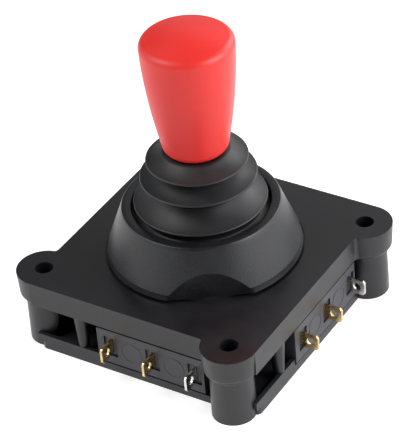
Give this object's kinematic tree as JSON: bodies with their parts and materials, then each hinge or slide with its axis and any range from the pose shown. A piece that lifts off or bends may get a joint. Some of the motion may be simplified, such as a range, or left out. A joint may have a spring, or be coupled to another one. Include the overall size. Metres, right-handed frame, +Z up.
{
  "type": "industrial joystick",
  "caption": "Panel joystick with a tapered red knob, bellows boot and clamp nut on a square base; tilting the gimballed lever presses snap-action switches.",
  "frame": {"origin": "centre of the underside of the base", "axes": "+Z up along the upright lever, -Y and +X the two switch faces seen in the picture"},
  "size_m": [0.07, 0.07, 0.0751],
  "materials": {
    "housing": "glass-filled nylon, fine moulded texture",
    "bottom_cover": "glass-filled nylon, fine moulded texture",
    "cover_screws": "zinc plated",
    "panel_gasket": "matt",
    "clamp_nut": "fine spark-eroded texture, satin",
    "boot": "smooth moulded, slight sheen",
    "centring_spring": "bright drawn wire",
    "switch_case": "thermoset, satin",
    "switch_cover": "thermoset, satin",
    "brass_lug": "stamped strip",
    "tinned_lug": "silver plated, stamped strip",
    "plunger": "satin",
    "gimbal_ring": "natural acetal",
    "steel_pin": "ground",
    "lever_shaft": "turned, nickel plated",
    "actuator_puck": "natural acetal",
    "steel_clip": "spring steel",
    "spring_retainer": "stamped washer",
    "boot_collar": "satin",
    "knob": "smooth moulded, soft gloss",
    "knob_insert": "turned"
  },
  "bodies": {
    "base": {"housing": "housing", "bottom_cover": "bottom_cover", "cover_screws": "cover_screws", "panel_gasket": "panel_gasket", "clamp_nut": "clamp_nut", "boot": "boot", "centring_spring": "centring_spring", "front_switch_case": "switch_case", "right_switch_case": "switch_case", "back_switch_case": "switch_case", "left_switch_case": "switch_case", "front_switch_cover": "switch_cover", "right_switch_cover": "switch_cover", "back_switch_cover": "switch_cover", "left_switch_cover": "switch_cover", "front_common_lug": "brass_lug", "right_common_lug": "brass_lug", "back_common_lug": "brass_lug", "left_common_lug": "brass_lug", "front_closed_lug": "brass_lug", "right_closed_lug": "brass_lug", "back_closed_lug": "brass_lug", "left_closed_lug": "brass_lug", "front_open_lug": "tinned_lug", "right_open_lug": "tinned_lug", "back_open_lug": "tinned_lug", "left_open_lug": "tinned_lug"},
    "gimbal": {"gimbal_ring": "gimbal_ring", "trunnion_pins": "steel_pin"},
    "lever": {"lever_shaft": "lever_shaft", "cross_pin": "steel_pin", "actuator_puck": "actuator_puck", "puck_clip": "steel_clip", "spring_retainer": "spring_retainer", "retainer_clip": "steel_clip", "boot_collar": "boot_collar", "knob": "knob", "knob_insert": "knob_insert"},
    "front_plunger": {"front_plunger": "plunger"},
    "right_plunger": {"right_plunger": "plunger"},
    "back_plunger": {"back_plunger": "plunger"},
    "left_plunger": {"left_plunger": "plunger"}
  },
  "joints": [
    {"name": "tilt_x", "type": "hinge", "parent": "base", "child": "gimbal", "pos_m": [0, 0, 0.0145], "axis": [1, 0, 0], "range_deg": [-9, 9], "stiffness_Nm_per_rad": 0.4, "deforming": ["boot", "centring_spring"]},
    {"name": "tilt_y", "type": "hinge", "parent": "gimbal", "child": "lever", "pos_m": [0, 0, 0.0145], "axis": [0, 1, 0], "range_deg": [-9, 9], "stiffness_Nm_per_rad": 0.4, "deforming": ["boot", "centring_spring"]},
    {"name": "front_press", "type": "slide", "parent": "base", "child": "front_plunger", "axis": [0, -1, 0], "range_m": [-0.00114, 0.00114]},
    {"name": "right_press", "type": "slide", "parent": "base", "child": "right_plunger", "axis": [1, 0, 0], "range_m": [-0.00114, 0.00114]},
    {"name": "back_press", "type": "slide", "parent": "base", "child": "back_plunger", "axis": [0, 1, 0], "range_m": [-0.00114, 0.00114]},
    {"name": "left_press", "type": "slide", "parent": "base", "child": "left_plunger", "axis": [-1, 0, 0], "range_m": [-0.00114, 0.00114]}
  ],
  "couplings": [
    {"joint": "front_press", "follows": "tilt_x", "m_per_rad": -0.00725},
    {"joint": "right_press", "follows": "tilt_y", "m_per_rad": -0.00725},
    {"joint": "back_press", "follows": "tilt_x", "m_per_rad": 0.00725},
    {"joint": "left_press", "follows": "tilt_y", "m_per_rad": 0.00725}
  ]
}
